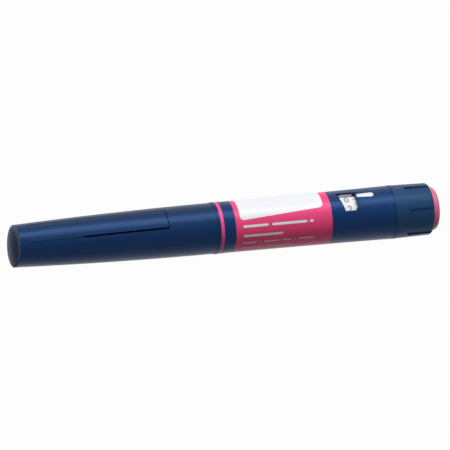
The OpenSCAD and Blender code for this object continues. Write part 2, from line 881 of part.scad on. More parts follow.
module dial() {
    color("steelblue") difference() {
        turned(concat(
            [
                [dial_lip_r, dial_x0],
                [dial_lip_r, dial_x0 + dial_lip_w],
                [dial_front_r, dial_x0 + dial_lip_w]
            ],
            arc(dial_rear_r - dial_edge_r, dial_x1 - dial_edge_r, dial_edge_r, 0, 90, dial_edge_steps)
        ));
        under_flat(dial_lip_r - rest_flat_depth, dial_x0 - cut_over, dial_x1 + cut_over);
        rod(dial_skirt_r, dial_x0 - cut_over, dial_web_x0);
        rod(base_hub_r + run_gap, dial_x0, dial_x1);
        rod(dial_bore_r, dial_web_x1, dial_x1 + cut_over);
        for (i = [0:groove_count - 1])
            bar(groove_w, dial_rear_r - groove_depth, 2 * dial_rear_r, dial_x1 - groove_len,
                dial_x1 + cut_over, groove_turn + i * 360 / groove_count);
    }
}

module dose_button() {
    crown_r = (pow(button_r - button_edge_r, 2) + pow(button_crown_h, 2)) / (2 * button_crown_h);
    crown_end = asin((button_r - button_edge_r) / crown_r);
    edge_x = button_x1 - button_crown_h - button_edge_r;
    color("palevioletred") difference() {
        turned(concat(
            [[button_r, button_x0]],
            arc(button_r - button_edge_r, edge_x, button_edge_r, 0, 90 - crown_end, button_arc_steps),
            arc(0, button_x1 - crown_r, crown_r, 90 - crown_end, 90, button_arc_steps)
        ));
        difference() {
            rod(button_r - button_wall, button_x0 - cut_over, button_ceiling_x);
            rod(button_stem_r, button_stem_x0, button_ceiling_x + hair);
        }
        rod(reset_r + seat_gap, button_x0 - cut_over, button_ceiling_x);
    }
}

cap();
collar_ring();
housing();
label();
dose_pointer();
cartridge_holder();
cartridge_glass();
crimp_cap();
septum();
piston();
piston_washer();
piston_rod();
nut_element();
drive_element();
clutch_ring();
ratchet_tube();
reset_tube();
content_nut();
torsion_spring();
spring_base();
scale_drum();
dial();
return_spring();
dose_button();
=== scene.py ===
"""Insulin pen, dressed.

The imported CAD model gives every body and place. This script gives each node its finish,
and adds the surfaces that belong to looks: smooth springs, the clear parts round the
cartridge, the threaded rod, the lips that narrow the collar ring, the strips in the clip's
slots, the numbers and marks on the dose drum, the pale wall of the dose window, and the
print on the label.

Directions: the pen's axis runs along X, at the height axis_z. A turn is an angle about the
axis, measured from +Z towards +Y, so the dose window and the clip are at turn 0.
"""

import math

import bmesh
import bpy
import numpy as np
from mathutils import Matrix, Vector


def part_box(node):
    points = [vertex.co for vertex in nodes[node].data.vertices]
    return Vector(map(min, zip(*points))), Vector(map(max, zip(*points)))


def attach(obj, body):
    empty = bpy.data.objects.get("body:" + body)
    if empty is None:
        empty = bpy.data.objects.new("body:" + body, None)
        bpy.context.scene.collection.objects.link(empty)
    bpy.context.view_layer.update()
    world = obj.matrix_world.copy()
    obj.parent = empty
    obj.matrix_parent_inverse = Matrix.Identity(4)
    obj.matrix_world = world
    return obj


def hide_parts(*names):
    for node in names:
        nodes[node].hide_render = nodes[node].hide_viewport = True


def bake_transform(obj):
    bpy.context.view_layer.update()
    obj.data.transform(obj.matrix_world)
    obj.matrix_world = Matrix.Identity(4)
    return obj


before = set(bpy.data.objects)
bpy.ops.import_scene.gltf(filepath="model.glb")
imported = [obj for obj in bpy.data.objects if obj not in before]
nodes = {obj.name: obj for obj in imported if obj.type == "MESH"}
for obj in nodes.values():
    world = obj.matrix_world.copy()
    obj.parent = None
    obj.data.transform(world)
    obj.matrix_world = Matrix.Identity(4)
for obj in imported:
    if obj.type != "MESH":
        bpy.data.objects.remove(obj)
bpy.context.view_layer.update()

MM = 0.001
FULL_TURN = 2 * math.pi

# Places from the frame
ring_lo, ring_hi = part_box("collar_ring")
cap_lo, cap_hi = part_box("cap")
house_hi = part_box("housing")[1]
torsion_lo, torsion_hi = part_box("torsion_spring")
return_lo, return_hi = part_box("return_spring")
holder_lo, holder_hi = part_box("cartridge_holder")
glass_lo, glass_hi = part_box("cartridge_glass")
crimp_lo, crimp_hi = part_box("crimp_cap")
rod_lo, rod_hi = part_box("piston_rod")

ring_r = ring_hi.y
axis_z = ring_hi.z - ring_r
drum_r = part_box("scale_drum")[1].y
housing_rear_r = house_hi.y

# Outer sides of the cap and the housing
HOUSING_FRONT_R = 8.58 * MM
CAP_MOUTH_R = 8.54 * MM
CAP_END_R = 7.07 * MM
CAP_DOME = 1.1 * MM


def housing_outer_r(x):
    """Outer radius of the housing at x: its front radius plus the flare times the square of
    the share of its length."""
    share = (x - ring_hi.x) / (house_hi.x - ring_hi.x)
    return HOUSING_FRONT_R + (housing_rear_r - HOUSING_FRONT_R) * share ** 2


def cap_outer_r(x):
    """Outer radius of the cap at x: its mouth radius less the taper times the square of the
    share of its length from the mouth."""
    share = (cap_hi.x - x) / (cap_hi.x - cap_lo.x - CAP_DOME)
    return CAP_MOUTH_R - (CAP_MOUTH_R - CAP_END_R) * share ** 2


# Meshes from grids
def on_pen(x, radius, turn):
    """Points at x along the pen, at a radius from its axis and a turn from +Z towards +Y: y is
    the radius times the sine of the turn, and the height over the axis is that of its cosine."""
    x, radius, turn = np.broadcast_arrays(x, radius, turn)
    return np.stack([x, radius * np.sin(turn), axis_z + radius * np.cos(turn)], axis=-1)


def new_mesh(name, points, faces):
    """Mesh from points, in a grid or a row, and faces that count them in order."""
    mesh = bpy.data.meshes.new(name)
    mesh.from_pydata(points.reshape(-1, 3).tolist(), [], faces)
    return mesh


def grid_faces(index):
    """Four-cornered faces between the neighbours in a grid of indices, whose last two axes are
    rows and columns."""
    corners = [index[..., :-1, :-1], index[..., :-1, 1:], index[..., 1:, 1:], index[..., 1:, :-1]]
    return np.stack(corners, axis=-1).reshape(-1, 4).tolist()


def finish_piece(name, mesh, material, body, flip=False):
    """Object for a mesh: its material, smooth shading, and the body it rides on, if any. flip
    turns the faces over."""
    if flip:
        mesh.flip_normals()
    mesh.polygons.foreach_set("use_smooth", [True] * len(mesh.polygons))
    mesh.materials.append(material)
    mesh.validate()
    piece = bpy.data.objects.new(name, mesh)
    bpy.context.scene.collection.objects.link(piece)
    if body:
        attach(piece, body)
    return piece


def surface(name, points, material, body, around=False, ends=False, flip=False, ring=False):
    """Piece over a grid of points, rows by columns.

    around joins the last column to the first, and ring the last row to the first. ends closes
    the first and the last row with a fan round its middle point."""
    rows, columns = points.shape[:2]
    index = np.arange(rows * columns).reshape(rows, columns)
    if around:
        index = np.concatenate([index, index[:, :1]], axis=1)
    if ring:
        index = np.concatenate([index, index[:1]], axis=0)
    faces = grid_faces(index)
    vertices = points.reshape(-1, 3)
    if ends:
        middles = np.stack([points[0].mean(axis=0), points[-1].mean(axis=0)])
        first, last = len(vertices), len(vertices) + 1
        vertices = np.concatenate([vertices, middles])
        faces += [[first, q, p] for p, q in zip(index[0, :-1].tolist(), index[0, 1:].tolist())]
        faces += [[last, p, q] for p, q in zip(index[-1, :-1].tolist(), index[-1, 1:].tolist())]
    return finish_piece(name, new_mesh(name, vertices, faces), material, body, flip)


def print_patches(name, points, material, body):
    """Piece over a stack of separate grids of points: patches by rows by columns."""
    index = np.arange(points[..., 0].size).reshape(points.shape[:3])
    mesh = new_mesh(name, points, grid_faces(index))
    finish_piece(name, mesh, material, body, flip=True)


# One reach from a corner is at most this share of the edge that it runs along.
MOST_OF_EDGE = 0.2


def softened(profile, reach):
    """Closed outline of corners with each corner softened: it becomes two points on the edge
    before it, at two reaches and one, a point half way from the corner to the mean of its
    neighbours, and two on the edge after it, at one reach and two."""
    corners = np.array(profile)
    before = np.roll(corners, 1, axis=0) - corners
    after = np.roll(corners, -1, axis=0) - corners
    long_before = np.linalg.norm(before, axis=1, keepdims=True)
    long_after = np.linalg.norm(after, axis=1, keepdims=True)
    step_before = before / long_before * np.minimum(reach, MOST_OF_EDGE * long_before)
    step_after = after / long_after * np.minimum(reach, MOST_OF_EDGE * long_after)
    points = np.stack([corners + 2 * step_before, corners + step_before,
                       corners + (step_before + step_after) / 4,
                       corners + step_after, corners + 2 * step_after], axis=1)
    return points.reshape(-1, 2)


def turned(name, outline, material, body, steps, relief=None):
    """Closed outline of x and radius turned about the pen's axis in equal steps. relief takes
    x, the radius and the turn, and gives the depth by which the wall is cut back there."""
    turn = np.linspace(0.0, FULL_TURN, steps, endpoint=False)[:, None]
    x, radius = outline[None, :, 0], outline[None, :, 1]
    if relief is not None:
        radius = radius - relief(x, radius, turn)
    return surface(name, on_pen(x, radius, turn), material, body, around=True, ring=True)


# Sockets of Blender's Mix node when it mixes colours
MIX_FACTOR, MIX_FIRST, MIX_SECOND, MIX_RESULT = 0, 6, 7, 2

# Fineness of the patterns, in features a metre
CLOUDS, WIPE_MARKS, SPARK_GRAIN = 90.0, 2600.0, 9000.0
POLISH_CLOUDS, POLISH_DRIFT, CLEAR_RIPPLE = 120.0, 700.0, 300.0
DRAWN_LINES, BLOOM_PATCHES, SKIN_PITS, PAPER_TONES = 3000.0, 400.0, 7000.0, 3.0

# Heights of the fine relief
GRAIN_HEIGHT, RIPPLE_HEIGHT = 0.004 * MM, 0.002 * MM
LINE_HEIGHT, PIT_HEIGHT = 0.003 * MM, 0.01 * MM


# Parts of a material
def cleared_tree(owner, output_kind):
    """Node tree of a material or a world with nothing left in it, and its new output."""
    owner.use_nodes = True
    tree = owner.node_tree
    tree.nodes.clear()
    return tree, tree.nodes.new(output_kind)


def new_finish(name):
    """Material with one shader wired to its output."""
    material = bpy.data.materials.new(name)
    tree, out = cleared_tree(material, "ShaderNodeOutputMaterial")
    shader = tree.nodes.new("ShaderNodeBsdfPrincipled")
    tree.links.new(shader.outputs["BSDF"], out.inputs["Surface"])
    return material, tree, shader


def object_noise(tree, scale, stretch=(1.0, 1.0, 1.0), detail=3.0):
    """Noise on Object coordinates: scale is in features a metre, and stretch is for each axis,
    where less than 1 draws the pattern out."""
    place = tree.nodes.new("ShaderNodeTexCoord")
    mapping = tree.nodes.new("ShaderNodeMapping")
    mapping.inputs["Scale"].default_value = stretch
    noise = tree.nodes.new("ShaderNodeTexNoise")
    noise.inputs["Scale"].default_value = scale
    noise.inputs["Detail"].default_value = detail
    tree.links.new(place.outputs["Object"], mapping.inputs["Vector"])
    tree.links.new(mapping.outputs["Vector"], noise.inputs["Vector"])
    return noise.outputs["Fac"]


def spread(tree, value, low, high, from_low=0.3, from_high=0.7):
    """Maps a value between two ends, by default those that noise mostly keeps to, to low and
    high."""
    span = tree.nodes.new("ShaderNodeMapRange")
    span.inputs["From Min"].default_value = from_low
    span.inputs["From Max"].default_value = from_high
    span.inputs["To Min"].default_value = low
    span.inputs["To Max"].default_value = high
    tree.links.new(value, span.inputs["Value"])
    return span.outputs["Result"]


def two_tones(tree, factor, first, second):
    """Colour that goes from first to second with a factor."""
    blend = tree.nodes.new("ShaderNodeMix")
    blend.data_type = "RGBA"
    blend.inputs[MIX_FIRST].default_value = (*first, 1.0)
    blend.inputs[MIX_SECOND].default_value = (*second, 1.0)
    tree.links.new(factor, blend.inputs[MIX_FACTOR])
    return blend.outputs[MIX_RESULT]


def darker(colour, share):
    """The colour at a share of its brightness."""
    return tuple(v * share for v in colour)


def add_bump(tree, shader, pattern, height, strength):
    """Fine relief that follows a pattern, without a change of the mesh."""
    bump = tree.nodes.new("ShaderNodeBump")
    bump.inputs["Distance"].default_value = height
    bump.inputs["Strength"].default_value = strength
    tree.links.new(pattern, bump.inputs["Height"])
    tree.links.new(bump.outputs["Normal"], shader.inputs["Normal"])


def rgb(red, green, blue):
    """Linear colour from a colour as a picture shows it, 0 to 255, by the standard curve: a
    straight start, then a power of 2.4."""
    shown = np.array([red, green, blue]) / 255.0
    linear = np.where(shown <= 0.04045, shown / 12.92, ((shown + 0.055) / 1.055) ** 2.4)
    return tuple(float(v) for v in linear)


# Kinds of finish
def moulded(name, colour, deeper, roughness, gloss=0.5, tint=(1.0, 1.0, 1.0), grain=0.35):
    """Moulded plastic: two near tones in soft clouds, a fine spark-eroded grain, and faint
    wiping marks along the pen that change the roughness a little."""
    material, tree, shader = new_finish(name)
    clouds = spread(tree, object_noise(tree, CLOUDS, stretch=(0.5, 1.0, 1.0)), 0.0, 1.0)
    tree.links.new(two_tones(tree, clouds, colour, deeper), shader.inputs["Base Color"])
    marks = object_noise(tree, WIPE_MARKS, stretch=(0.02, 1.0, 1.0), detail=2.0)
    tree.links.new(spread(tree, marks, roughness - 0.04, roughness + 0.05),
                   shader.inputs["Roughness"])
    shader.inputs["Specular IOR Level"].default_value = gloss
    shader.inputs["Specular Tint"].default_value = (*tint, 1.0)
    add_bump(tree, shader, object_noise(tree, SPARK_GRAIN, detail=1.0), GRAIN_HEIGHT, grain)
    return material


def matt_end(material, x0, x1, low, high):
    """Less gloss on the part's end: the specular level goes from low at x0 to high at x1."""
    tree = material.node_tree
    place = tree.nodes.new("ShaderNodeTexCoord")
    split = tree.nodes.new("ShaderNodeSeparateXYZ")
    tree.links.new(place.outputs["Object"], split.inputs["Vector"])
    shader = next(n for n in tree.nodes if n.type == "BSDF_PRINCIPLED")
    level = spread(tree, split.outputs["X"], low, high, x0, x1)
    tree.links.new(level, shader.inputs["Specular IOR Level"])


def clear_plastic(name, colour, roughness, index):
    """Clear plastic or glass, with a faint drift in its polish."""
    material, tree, shader = new_finish(name)
    clouds = spread(tree, object_noise(tree, POLISH_CLOUDS), 0.0, 1.0)
    tree.links.new(two_tones(tree, clouds, colour, darker(colour, 0.97)),
                   shader.inputs["Base Color"])
    drift = object_noise(tree, POLISH_DRIFT, stretch=(0.1, 1.0, 1.0))
    tree.links.new(spread(tree, drift, roughness * 0.6, roughness * 1.4),
                   shader.inputs["Roughness"])
    shader.inputs["Transmission Weight"].default_value = 1.0
    shader.inputs["IOR"].default_value = index
    add_bump(tree, shader, object_noise(tree, CLEAR_RIPPLE), RIPPLE_HEIGHT, 0.08)
    return material


def metal(name, colour, roughness, stretch):
    """Drawn or brushed metal: fine lines in the direction that stretch draws out."""
    material, tree, shader = new_finish(name)
    lines = object_noise(tree, DRAWN_LINES, stretch, detail=2.0)
    tree.links.new(two_tones(tree, spread(tree, lines, 0.0, 1.0), colour, darker(colour, 0.8)),
                   shader.inputs["Base Color"])
    tree.links.new(spread(tree, lines, roughness - 0.08, roughness + 0.1),
                   shader.inputs["Roughness"])
    shader.inputs["Metallic"].default_value = 1.0
    add_bump(tree, shader, lines, LINE_HEIGHT, 0.4)
    return material


def rubber(name, colour, paler):
    """Soft rubber: matt, with a dusty bloom in patches and a fine pitted skin."""
    material, tree, shader = new_finish(name)
    bloom = spread(tree, object_noise(tree, BLOOM_PATCHES, detail=6.0), 0.0, 1.0)
    tree.links.new(two_tones(tree, bloom, colour, paler), shader.inputs["Base Color"])
    tree.links.new(spread(tree, bloom, 0.7, 0.85), shader.inputs["Roughness"])
    add_bump(tree, shader, object_noise(tree, SKIN_PITS), PIT_HEIGHT, 0.5)
    return material


# Finishes of the pen: colour, deeper tone, roughness, gloss and the tint of the gloss
NAVY_SHEEN = (0.20, 0.44, 1.0)
BLUE_SHEEN = (0.30, 0.60, 1.0)
PINK_SHEEN = (1.0, 0.55, 0.80)
NAVY_ROUGHNESS = 0.34
NAVY_GLOSS = 0.50
PRINT_GRAIN = 0.15
cap_navy = moulded("cap navy", rgb(5, 34, 72), rgb(3, 30, 67),
                   NAVY_ROUGHNESS, NAVY_GLOSS, NAVY_SHEEN)
housing_navy = moulded("housing navy", rgb(5, 39, 86), rgb(3, 35, 81),
                       NAVY_ROUGHNESS, NAVY_GLOSS, NAVY_SHEEN)
dial_blue = moulded("dose selector blue", rgb(28, 60, 98), rgb(24, 55, 92),
                    0.42, 0.34, BLUE_SHEEN)
ring_pink = moulded("collar pink", rgb(242, 86, 150), rgb(236, 79, 142),
                    0.38, 0.45, PINK_SHEEN)
label_pink = moulded("label pink film", rgb(242, 72, 128), rgb(237, 66, 121),
                     0.36, 0.5, PINK_SHEEN, PRINT_GRAIN)
label_white = moulded("label white print", rgb(242, 243, 246), rgb(237, 239, 243),
                      0.32, 0.45, grain=PRINT_GRAIN)
pointer_white = moulded("pointer white", rgb(240, 243, 248), rgb(232, 236, 243), 0.35)
drum_white = moulded("drum white", rgb(240, 241, 242), rgb(232, 234, 237), 0.45)
number_grey = moulded("number grey ink", rgb(104, 108, 114), rgb(92, 96, 103), 0.55)
button_pink = moulded("button pink", rgb(240, 124, 154), rgb(233, 116, 146),
                      0.42, 0.45, PINK_SHEEN)
washer_white = moulded("washer white", rgb(236, 238, 238), rgb(226, 229, 230), 0.45)
rod_grey = moulded("rod grey", rgb(176, 180, 186), rgb(166, 171, 178), 0.45)
nut_grey = moulded("nut grey", rgb(150, 155, 163), rgb(141, 146, 155), 0.5)
drive_amber = moulded("drive amber", rgb(202, 164, 88), rgb(193, 154, 80), 0.42)
clutch_green = moulded("clutch green", rgb(88, 158, 122), rgb(80, 149, 113), 0.45)
ratchet_orange = moulded("ratchet orange", rgb(224, 148, 72), rgb(216, 140, 66), 0.45)
reset_violet = moulded("reset tube violet", rgb(148, 128, 188), rgb(140, 120, 180), 0.45)
content_red = moulded("content nut red", rgb(200, 66, 74), rgb(190, 58, 66), 0.45)
base_ivory = moulded("spring base ivory", rgb(226, 218, 196), rgb(218, 209, 186), 0.5)
holder_clear = clear_plastic("holder clear plastic", (0.95, 0.975, 0.985), 0.05, 1.49)
cartridge_clear = clear_plastic("cartridge glass", (0.97, 0.99, 0.99), 0.02, 1.47)
crimp_metal = metal("crimp aluminium", (0.80, 0.81, 0.83), 0.32, stretch=(1.0, 0.06, 0.06))
spring_steel = metal("spring steel", (0.62, 0.63, 0.65), 0.30, stretch=(0.3, 0.3, 0.3))
stopper_rubber = rubber("stopper rubber", rgb(92, 94, 98), rgb(118, 120, 124))
septum_rubber = rubber("septum rubber", rgb(168, 88, 66), rgb(186, 112, 90))

# The cap's domed end is matt, and the gloss comes in where its side begins.
CAP_END_GLOSS = 0.05
MATT_TO_X, GLOSS_FROM_X = cap_lo.x + 1.0 * MM, cap_lo.x + 1.5 * MM
matt_end(cap_navy, MATT_TO_X, GLOSS_FROM_X, CAP_END_GLOSS, NAVY_GLOSS)

FINISHES = {
    "cap": cap_navy,
    "collar_ring": ring_pink,
    "housing": housing_navy,
    "label": label_pink,
    "dose_pointer": pointer_white,
    "cartridge_holder": holder_clear,
    "cartridge_glass": cartridge_clear,
    "crimp_cap": crimp_metal,
    "septum": septum_rubber,
    "piston": stopper_rubber,
    "piston_washer": washer_white,
    "piston_rod": rod_grey,
    "nut_element": nut_grey,
    "drive_element": drive_amber,
    "clutch_ring": clutch_green,
    "ratchet_tube": ratchet_orange,
    "reset_tube": reset_violet,
    "content_nut": content_red,
    "torsion_spring": spring_steel,
    "spring_base": base_ivory,
    "scale_drum": drum_white,
    "dial": dial_blue,
    "return_spring": spring_steel,
    "dose_button": button_pink,
}
for node_name, finish in FINISHES.items():
    node = nodes[node_name]
    if not node.material_slots:
        node.data.materials.append(finish)
    for place in node.material_slots:
        place.material = finish

# Springs
TORSION_WIRE_R, TORSION_TURNS = 0.4 * MM, 24
RETURN_WIRE_R, RETURN_TURNS = 0.3 * MM, 6
COIL_STEPS = 28
WIRE_SIDES = 14


def coil_spring(name, lo, hi, wire_r, turns, body, node_name):
    """Spring of round wire between the ends of its CAD solid.

    The centre line is a helix: it goes round at its mean radius, and its x grows evenly with the
    angle. The wire is a circle carried along that line, square to it. body is the one it rides
    on, or None for a coil that rides on no body."""
    mean_r = hi.y - wire_r
    start, end = lo.x + wire_r, hi.x - wire_r
    a = np.linspace(0.0, FULL_TURN * turns, turns * COIL_STEPS + 1)[:, None]
    x = start + (end - start) * a / a[-1]
    slope = np.broadcast_to((end - start) / a[-1], a.shape)
    outward = np.stack([np.zeros_like(a), -np.sin(a), np.cos(a)], axis=-1)
    forward = np.stack([slope, -mean_r * np.cos(a), -mean_r * np.sin(a)], axis=-1)
    forward /= np.linalg.norm(forward, axis=-1, keepdims=True)
    across = np.cross(forward, outward)
    b = np.linspace(0.0, FULL_TURN, WIRE_SIDES, endpoint=False)[None, :, None]
    centre = np.stack([x, -mean_r * np.sin(a), axis_z + mean_r * np.cos(a)], axis=-1)
    points = centre + wire_r * (np.cos(b) * outward + np.sin(b) * across)
    piece = surface(name, points, spring_steel, body, around=True, ends=True)
    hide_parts(node_name)
    return piece


coil_spring("torsion_coil", torsion_lo, torsion_hi, TORSION_WIRE_R, TORSION_TURNS,
            "housing", "torsion_spring")
return_coil = coil_spring("return_coil", return_lo, return_hi, RETURN_WIRE_R, RETURN_TURNS,
                          None, "return_spring")
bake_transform(return_coil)

# Cartridge, holder and rod
WALL_STEPS = 128
NEEDLE_THREAD_R = 4.65 * MM
NEEDLE_THREAD_END = holder_lo.x + 6.5 * MM
NEEDLE_PITCH = 1.0 * MM
NEEDLE_DEPTH = 0.28 * MM
NEEDLE_PLAIN_END = 0.3 * MM
NEEDLE_FADE = 0.4 * MM
NEEDLE_THREAD_POINTS = 110
HOLDER_SOFT, GLASS_SOFT = 0.05 * MM, 0.12 * MM
ROD_STEPS, ROD_SIDES = 700, 120
ON_THREAD = 0.001 * MM


def needle_thread(x, radius, turn):
    """Depth of the rounded needle thread: a cosine wave along the pen that advances by one
    pitch a turn, faded out at both ends of the threaded length."""
    wave = 0.5 - 0.5 * np.cos(FULL_TURN * x / NEEDLE_PITCH - turn)
    run_in = np.clip((x - holder_lo.x - NEEDLE_PLAIN_END) / NEEDLE_FADE, 0.0, 1.0)
    run_out = np.clip((NEEDLE_THREAD_END - NEEDLE_PLAIN_END - x) / NEEDLE_FADE, 0.0, 1.0)
    on_thread = np.abs(radius - NEEDLE_THREAD_R) < ON_THREAD
    return NEEDLE_DEPTH * wave * run_in * run_out * on_thread


def clear_holder():
    """Cartridge holder: needle thread, cone, tube with the snap ridge for the cap, flange, and
    the root with its latch ring; inside, the seat of the cartridge and the needle's hole."""
    tip, back = holder_lo.x, holder_hi.x
    cone_end, cone_r, tube_r = NEEDLE_THREAD_END + 2.6 * MM, 5.7 * MM, 6.8 * MM
    snap, snap_half, snap_r = cap_hi.x - 6.6 * MM, 0.4 * MM, 6.96 * MM
    flange_front, flange_back, flange_r = ring_lo.x - 1.0 * MM, ring_lo.x, 7.5 * MM
    latch_back = back - 5 * MM
    latch_front, latch_crest = latch_back - 1.18 * MM, latch_back - 0.6 * MM
    root_r, latch_r = 6.95 * MM, 7.15 * MM
    bore_r, bore_end = 5.85 * MM, glass_lo.x + 7.75 * MM
    seat_r, seat_end, hole_r = 3.9 * MM, crimp_hi.x + 1.0 * MM, 2.8 * MM
    corners = [(tip, NEEDLE_THREAD_R), (NEEDLE_THREAD_END, NEEDLE_THREAD_R),
               (NEEDLE_THREAD_END, cone_r), (cone_end, tube_r),
               (snap - snap_half, tube_r), (snap, snap_r), (snap + snap_half, tube_r),
               (flange_front, tube_r), (flange_front, flange_r),
               (flange_back, flange_r), (flange_back, root_r),
               (latch_front, root_r), (latch_front, latch_r),
               (latch_crest, latch_r), (latch_back, root_r),
               (back, root_r), (back, bore_r), (bore_end, bore_r),
               (seat_end, seat_r), (crimp_lo.x, seat_r), (crimp_lo.x, hole_r), (tip, hole_r)]
    outline = softened(corners, HOLDER_SOFT)
    # Each corner has become five points, so the threaded wall runs from point 4 to point 5.
    wall_start, wall_end = outline[4, 0], outline[5, 0]
    along = np.linspace(wall_start, wall_end, NEEDLE_THREAD_POINTS)[1:-1]
    threaded = np.stack([along, np.full_like(along, NEEDLE_THREAD_R)], axis=-1)
    outline = np.concatenate([outline[:5], threaded, outline[5:]])
    piece = turned("clear_holder", outline, holder_clear, "housing",
                   WALL_STEPS, needle_thread)
    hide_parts("cartridge_holder")


def clear_cartridge():
    """Glass cartridge: lip under the crimp, neck, sloping shoulder and a long straight wall."""
    front, back = glass_lo.x, glass_hi.x
    lip_end, lip_r = crimp_hi.x - 0.27 * MM, 3.58 * MM
    neck_end, neck_r, neck_bore_r = crimp_hi.x + 2.0 * MM, 3.0 * MM, 1.6 * MM
    wall_start, wall_r = neck_end + 3.5 * MM, 5.8 * MM
    bore_start, bore_r = neck_end + 4.5 * MM, 4.8 * MM
    funnel_start = neck_end + 1.0 * MM
    corners = [(front, lip_r), (lip_end, lip_r), (lip_end, neck_r), (neck_end, neck_r),
               (wall_start, wall_r), (back, wall_r), (back, bore_r), (bore_start, bore_r),
               (funnel_start, neck_bore_r), (front, neck_bore_r)]
    piece = turned("clear_cartridge", softened(corners, GLASS_SOFT), cartridge_clear, "housing",
                   WALL_STEPS)
    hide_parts("cartridge_glass")


def threaded_rod():
    """Piston rod: a thread of rounded ridges, the square of a cosine wave that advances by its
    pitch a turn, cut by two flat-bottomed slots along it, with a plain thinner tip."""
    x = np.linspace(rod_lo.x, rod_hi.x, ROD_STEPS)[:, None]
    turn = np.linspace(0.0, FULL_TURN, ROD_SIDES, endpoint=False)[None, :]
    crest, depth, pitch = 2.2 * MM, 0.3 * MM, 1.8 * MM
    slot_floor, slot_half = 1.7 * MM, 0.45 * MM
    tip_len, tip_r = 1.0 * MM, 1.4 * MM
    least_cosine = 0.5
    radius = crest - depth * (0.5 - 0.5 * np.cos(FULL_TURN * x / pitch - turn)) ** 2
    flat_r = slot_floor / np.maximum(np.abs(np.cos(turn)), least_cosine)
    in_slot = np.abs(np.tan(turn)) * slot_floor < slot_half
    radius = np.where(in_slot, np.minimum(radius, flat_r), radius)
    radius = np.where(x < rod_lo.x + tip_len, tip_r, radius)
    piece = surface("threaded_rod", on_pen(x, radius, turn), rod_grey, "rod",
                    around=True, ends=True, flip=True)
    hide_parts("piston_rod")


clear_holder()
clear_cartridge()
threaded_rod()

# Lips over the collar ring
LIP_LOW, LIP_HIGH = ring_r + 0.005 * MM, ring_r + 0.035 * MM
LIP_ROOT = 0.4 * MM
CAP_LIP_OVER_RING, HOUSING_LIP_OVER_RING = 0.42 * MM, 0.24 * MM
LIP_STEPS = 160
THIN_SOFT = 0.03 * MM


def lip(name, x0, x1, material, body):
    """Thin band round the pen with softened edges."""
    outline = softened([(x0, LIP_HIGH), (x1, LIP_HIGH), (x1, LIP_LOW), (x0, LIP_LOW)], THIN_SOFT)
    turned(name, outline, material, body, LIP_STEPS)


lip("cap_mouth_lip", cap_hi.x - LIP_ROOT, ring_lo.x + CAP_LIP_OVER_RING, cap_navy, "cap")
lip("housing_front_lip", ring_hi.x - HOUSING_LIP_OVER_RING, ring_hi.x + LIP_ROOT,
    housing_navy, "housing")

# Strips in the clip's slots
CLIP_ROOT_X, CLIP_END_X = cap_lo.x + 23.2 * MM, cap_lo.x + 52.2 * MM
CLIP_HALF = 3.35 * MM
SLOT_W = 0.55 * MM
FAR_EDGE_W, END_EDGE_W = 0.38 * MM, 0.33 * MM
EDGE_TOP, EDGE_DEPTH = 0.02 * MM, 0.6 * MM
FLOOR_TOP, FLOOR_DEPTH, FLOOR_MARGIN = 1.05 * MM, 0.12 * MM, 0.05 * MM
STRIP_STEPS = 60


def clip_strip(name, span_x, span_y, top, depth):
    """Strip in a slot of the clip: a softened rectangle carried along the strip's long way, at
    the depth top under the cap's outer radius. At y its height is the root of that radius
    squared less y squared."""
    along_x = span_x[1] - span_x[0] > span_y[1] - span_y[0]
    (run0, run1), (side0, side1) = (span_x, span_y) if along_x else (span_y, span_x)
    section = softened([(side0, 0.0), (side1, 0.0), (side1, -depth), (side0, -depth)], THIN_SOFT)
    run, side = np.linspace(run0, run1, STRIP_STEPS)[:, None], section[None, :, 0]
    x, y = (run, side) if along_x else (side, run)
    height = np.sqrt((cap_outer_r(x) - top) ** 2 - y ** 2) + section[None, :, 1]
    points = np.stack(np.broadcast_arrays(x, y, axis_z + height), axis=-1)
    surface(name, points, cap_navy, "cap", around=True, ends=True, flip=along_x)


clip_strip("clip_far_edge", (CLIP_ROOT_X, CLIP_END_X),
           (CLIP_HALF, CLIP_HALF + FAR_EDGE_W), EDGE_TOP, EDGE_DEPTH)
clip_strip("clip_end_edge", (CLIP_END_X, CLIP_END_X + END_EDGE_W),
           (-CLIP_HALF, CLIP_HALF + FAR_EDGE_W), EDGE_TOP, EDGE_DEPTH)
clip_strip("clip_end_floor", (CLIP_END_X - FLOOR_MARGIN, CLIP_END_X + SLOT_W + FLOOR_MARGIN),
           (-CLIP_HALF - SLOT_W, CLIP_HALF + SLOT_W), FLOOR_TOP, FLOOR_DEPTH)

# Numbers and marks on the dose drum
DOSE_STEP_TURN = math.radians(15)
DRUM_LEAD = 5.8 * MM
ZERO_TURN = math.radians(11.5)
ZERO_X = 41.3 * MM
LAST_DOSE = 50
PRINT_HEIGHT = 0.03 * MM
NUMBER_SIZE = 3.7 * MM
LONGEST_NUMBER_EDGE = 0.12 * NUMBER_SIZE
SPLIT_ROUNDS = 4
SAME_PLACE = 1e-7
MARK_W = 0.22 * MM
EVEN_MARK_LEN, ODD_MARK_LEN = 1.2 * MM, 0.8 * MM
MARKS_FROM_NUMBERS = 2.0 * MM
MARK_COLUMNS, MARK_ROWS = 4, 3


def dose_place(dose):
    """Place of a dose on the helix that follows the drum's groove: a turn of as many steps
    below the zero, and an x that is the same share of the lead past the zero's."""
    x = ZERO_X + DRUM_LEAD * DOSE_STEP_TURN * dose / FULL_TURN
    return x, ZERO_TURN - DOSE_STEP_TURN * dose


